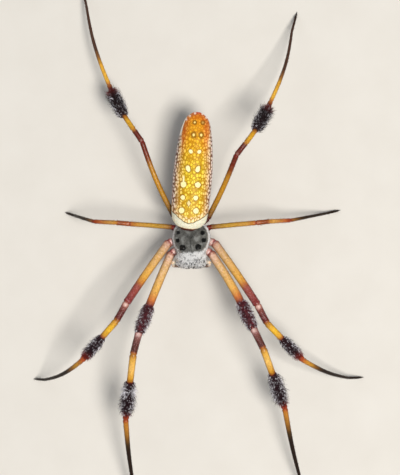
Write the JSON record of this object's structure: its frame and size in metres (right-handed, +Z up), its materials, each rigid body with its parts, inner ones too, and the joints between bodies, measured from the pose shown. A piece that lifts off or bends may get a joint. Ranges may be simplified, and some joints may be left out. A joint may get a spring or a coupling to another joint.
{
  "type": "female golden silk orb-weaver spider, still life-size model",
  "caption": "Life-size still model of a golden orb-weaving spider, long spotted abdomen, silver-haired head, brushed legs spread, standing on its feet.",
  "frame": {"origin": "on the floor, under the middle of the whole stance's box", "axes": "+Z up, -Y the way the head faces, +X the animal's own left, so its right legs are at -X"},
  "size_m": [0.0656, 0.106, 0.0185],
  "materials": {
    "silver_hair": "short silver-white hair over dark grey shell, with small bald black spots",
    "underside_plate": "brown hardened plate, satin, sparse pale hair",
    "abdomen_skin": "soft golden skin, cream spots in pairs, cream band across the front, purple-brown flanks dotted cream",
    "spinneret_skin": "brown skin, fine dark hair",
    "jaw_shell": "near-black polished shell",
    "palp_skin": "pale translucent cream shell with sparse dark bristles",
    "eye_lens": "glossy black lens",
    "coxa_skin": "translucent pinkish brown shell, dark red at the joint",
    "femur_skin": "translucent ochre-yellow shell, satin, fine short hair",
    "brushed_skin": "purple-black brush of stiff hair with silver glints, yellow shell beside it",
    "foot_skin": "black-brown shell, yellow at the ankle, short dark hair"
  },
  "bodies": {
    "root": {"carapace": "silver_hair", "sternum": "underside_plate", "pedicel": "underside_plate", "abdomen": "abdomen_skin", "spinnerets": "spinneret_skin", "chelicera_right": "jaw_shell", "fang_right": "jaw_shell", "palp_right": "palp_skin", "eye_front_median_right": "eye_lens", "eye_back_median_right": "eye_lens", "eye_front_lateral_right": "eye_lens", "eye_back_lateral_right": "eye_lens", "chelicera_left": "jaw_shell", "fang_left": "jaw_shell", "palp_left": "palp_skin", "eye_front_median_left": "eye_lens", "eye_back_median_left": "eye_lens", "eye_front_lateral_left": "eye_lens", "eye_back_lateral_left": "eye_lens", "leg1_right_coxa": "coxa_skin", "leg1_right_femur": "femur_skin", "leg1_right_patella_tibia": "brushed_skin", "leg1_right_metatarsus": "foot_skin", "leg1_right_tarsus": "foot_skin", "leg1_left_coxa": "coxa_skin", "leg1_left_femur": "femur_skin", "leg1_left_patella_tibia": "brushed_skin", "leg1_left_metatarsus": "foot_skin", "leg1_left_tarsus": "foot_skin", "leg2_right_coxa": "coxa_skin", "leg2_right_femur": "femur_skin", "leg2_right_patella_tibia": "brushed_skin", "leg2_right_metatarsus": "foot_skin", "leg2_right_tarsus": "foot_skin", "leg2_left_coxa": "coxa_skin", "leg2_left_femur": "femur_skin", "leg2_left_patella_tibia": "brushed_skin", "leg2_left_metatarsus": "foot_skin", "leg2_left_tarsus": "foot_skin", "leg3_right_coxa": "coxa_skin", "leg3_right_femur": "femur_skin", "leg3_right_patella_tibia": "brushed_skin", "leg3_right_metatarsus": "foot_skin", "leg3_right_tarsus": "foot_skin", "leg3_left_coxa": "coxa_skin", "leg3_left_femur": "femur_skin", "leg3_left_patella_tibia": "brushed_skin", "leg3_left_metatarsus": "foot_skin", "leg3_left_tarsus": "foot_skin", "leg4_right_coxa": "coxa_skin", "leg4_right_femur": "femur_skin", "leg4_right_patella_tibia": "brushed_skin", "leg4_right_metatarsus": "foot_skin", "leg4_right_tarsus": "foot_skin", "leg4_left_coxa": "coxa_skin", "leg4_left_femur": "femur_skin", "leg4_left_patella_tibia": "brushed_skin", "leg4_left_metatarsus": "foot_skin", "leg4_left_tarsus": "foot_skin"}
  },
  "joints": []
}
